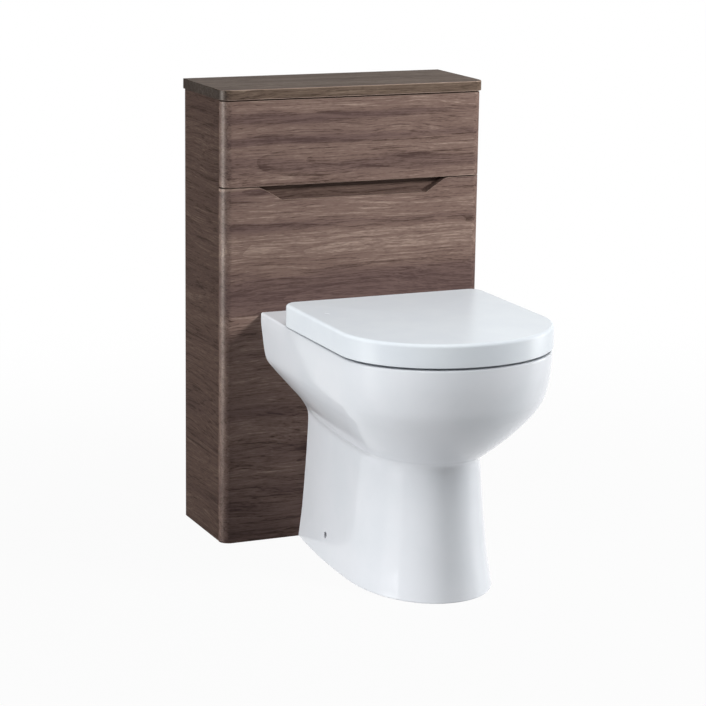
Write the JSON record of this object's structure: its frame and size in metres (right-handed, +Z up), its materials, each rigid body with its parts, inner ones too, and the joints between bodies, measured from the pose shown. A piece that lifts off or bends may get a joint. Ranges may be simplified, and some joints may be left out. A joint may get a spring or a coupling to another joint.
{
  "type": "toilet furniture unit",
  "caption": "Floor-standing toilet furniture unit in grey-brown walnut with concealed cistern, back-to-wall pan and wrap-over seat.",
  "frame": {"origin": "middle of the whole footprint (cabinet and pan) on the floor", "axes": "+Z up, -Y towards the person in front of the unit, +Y towards the wall, +X to the viewer's right"},
  "size_m": [0.506, 0.725, 0.8153],
  "materials": {
    "walnut": "satin grey-brown walnut grain foil",
    "carcass_board": "plain board",
    "dowel_wood": "beech",
    "glazed_ceramic": "white glazed vitreous china",
    "seat_plastic": "white gloss",
    "pad_plastic": "soft white",
    "zinc": "zinc plated",
    "chrome": "polished",
    "fitting_plastic": "moulded white",
    "cistern_plastic": "moulded white",
    "piston_plastic": "moulded red",
    "float_plastic": "moulded blue",
    "rubber": "black"
  },
  "bodies": {
    "cabinet": {"side_panel_left": "walnut", "side_panel_right": "walnut", "front_lower_panel": "walnut", "top_front_rail": "carcass_board", "hanging_rail": "carcass_board", "finger_pull_rail": "walnut", "base_front_rail": "carcass_board", "base_rear_rail": "carcass_board", "cam_locks": "zinc", "cam_bolts": "zinc", "wood_dowels": "dowel_wood", "pin_bushes": "fitting_plastic", "panel_sockets": "fitting_plastic", "corner_blocks": "fitting_plastic", "block_screws": "zinc", "wall_brackets": "zinc", "bracket_screws": "zinc", "pan": "glazed_ceramic", "pan_brackets": "fitting_plastic", "pan_side_screws": "zinc", "hinge_posts": "chrome", "hinge_pins": "chrome", "hinge_bolts": "zinc", "hinge_washers": "rubber", "hinge_wing_nuts": "fitting_plastic", "cistern_tank": "cistern_plastic", "cistern_lid": "cistern_plastic", "cistern_bolts": "zinc", "cistern_washers": "rubber", "cistern_nuts": "zinc", "flush_valve": "fitting_plastic", "flush_valve_washer": "rubber", "flush_valve_nut": "fitting_plastic", "button_bezel": "chrome", "fill_valve": "fitting_plastic", "fill_valve_nut": "fitting_plastic", "float_pivot_pin": "zinc", "flush_pipe": "fitting_plastic", "flush_pipe_nut": "fitting_plastic", "flush_cone": "rubber", "pan_connector": "fitting_plastic", "connector_seal": "rubber"},
    "worktop": {"worktop": "walnut", "worktop_pins": "zinc"},
    "upper_front": {"front_upper_panel": "walnut", "panel_studs": "fitting_plastic"},
    "seat_ring": {"seat_ring": "seat_plastic", "ring_bumpers": "pad_plastic"},
    "seat_lid": {"seat_lid": "seat_plastic", "lid_bumpers": "pad_plastic"},
    "full_button": {"full_flush_button": "chrome"},
    "half_button": {"half_flush_button": "chrome"},
    "flush_piston": {"valve_piston": "piston_plastic", "piston_seal": "rubber"},
    "float": {"float_arm": "float_plastic"}
  },
  "joints": [
    {"name": "worktop_lift", "type": "slide", "parent": "cabinet", "child": "worktop", "axis": [0, 0, 1], "range_m": [0, 0.1]},
    {"name": "upper_front_pull", "type": "slide", "parent": "cabinet", "child": "upper_front", "axis": [0, -1, 0], "range_m": [0, 0.05]},
    {"name": "seat_hinge", "type": "hinge", "parent": "cabinet", "child": "seat_ring", "pos_m": [0, 0.0345, 0.4455], "axis": [-1, 0, 0], "range_deg": [0, 95]},
    {"name": "lid_hinge", "type": "hinge", "parent": "seat_ring", "child": "seat_lid", "pos_m": [0, 0.0345, 0.4455], "axis": [1, 0, 0], "range_deg": [-97, 0]},
    {"name": "full_flush_press", "type": "slide", "parent": "cabinet", "child": "full_button", "axis": [0, 0, -1], "range_m": [0, 0.006], "stiffness_N_per_m": 400, "springref_m": -0.004},
    {"name": "half_flush_press", "type": "slide", "parent": "cabinet", "child": "half_button", "axis": [0, 0, -1], "range_m": [0, 0.006], "stiffness_N_per_m": 400, "springref_m": -0.004},
    {"name": "piston_lift", "type": "slide", "parent": "cabinet", "child": "flush_piston", "axis": [0, 0, 1], "range_m": [0, 0.0205]},
    {"name": "float_swing", "type": "hinge", "parent": "cabinet", "child": "float", "pos_m": [0.104, 0.2845, 0.677], "axis": [0, 1, 0], "range_deg": [0, 20]}
  ],
  "couplings": [
    {"joint": "piston_lift", "follows": "full_flush_press", "ratio": 3.3}
  ]
}
